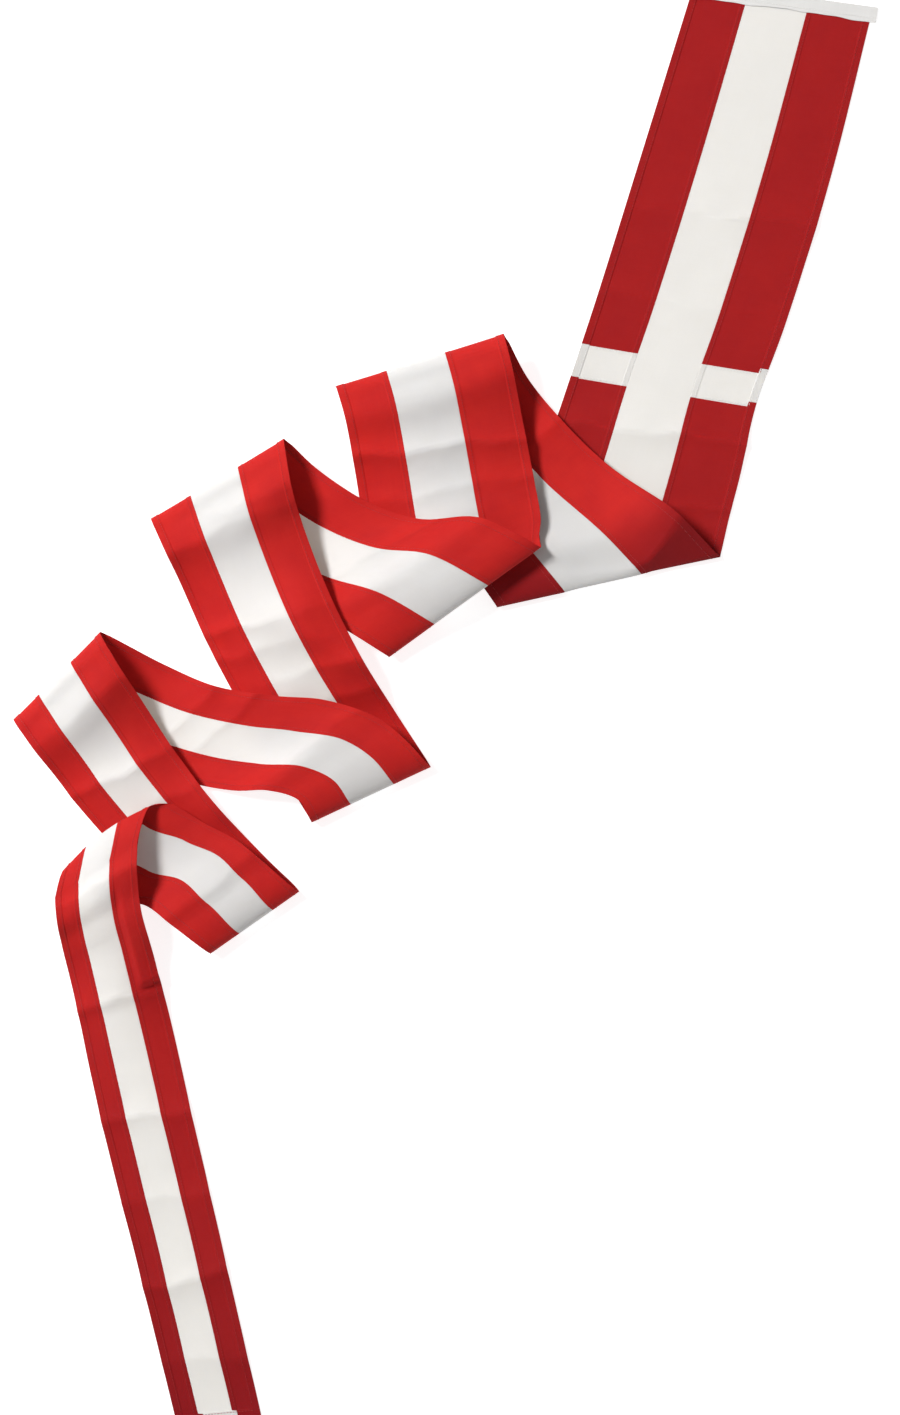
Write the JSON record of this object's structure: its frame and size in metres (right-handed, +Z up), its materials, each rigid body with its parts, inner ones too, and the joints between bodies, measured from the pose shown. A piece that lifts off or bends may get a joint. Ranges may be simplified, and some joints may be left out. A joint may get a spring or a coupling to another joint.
{
  "type": "cross pennant",
  "caption": "Long tapered cloth pennant with a cross sewn from strips, a folded heading tape and turned hems, laid down loosely in zigzag lengths.",
  "frame": {"origin": "middle of the laid pennant's bounding box, on the floor that it lies on", "axes": "+Z up, +Y towards the heading end, +X to the right when seen from above with the heading at the far end"},
  "size_m": [0.9106, 1.5222, 0.0581],
  "materials": {
    "red_cloth": "woven polyester flag cloth, plain weave, soft satin sheen, pressed packing creases",
    "white_cloth": "woven polyester flag cloth, plain weave, matt, slightly translucent",
    "heading_tape": "folded white webbing tape, matt",
    "red_thread": "polyester sewing thread",
    "white_thread": "polyester sewing thread"
  },
  "bodies": {
    "root": {"hoist_field_left": "red_cloth", "hoist_field_right": "red_cloth", "fly_field_left": "red_cloth", "fly_field_right": "red_cloth", "centre_stripe": "white_cloth", "cross_bar_left": "white_cloth", "cross_bar_right": "white_cloth", "heading_tape": "heading_tape", "seam_thread_left": "red_thread", "seam_thread_right": "red_thread", "hem_thread_left": "red_thread", "hem_thread_right": "red_thread", "tail_hem_thread": "red_thread", "bar_thread_left_hoist": "white_thread", "bar_thread_left_fly": "white_thread", "bar_thread_right_hoist": "white_thread", "bar_thread_right_fly": "white_thread", "heading_thread": "white_thread"}
  },
  "joints": []
}
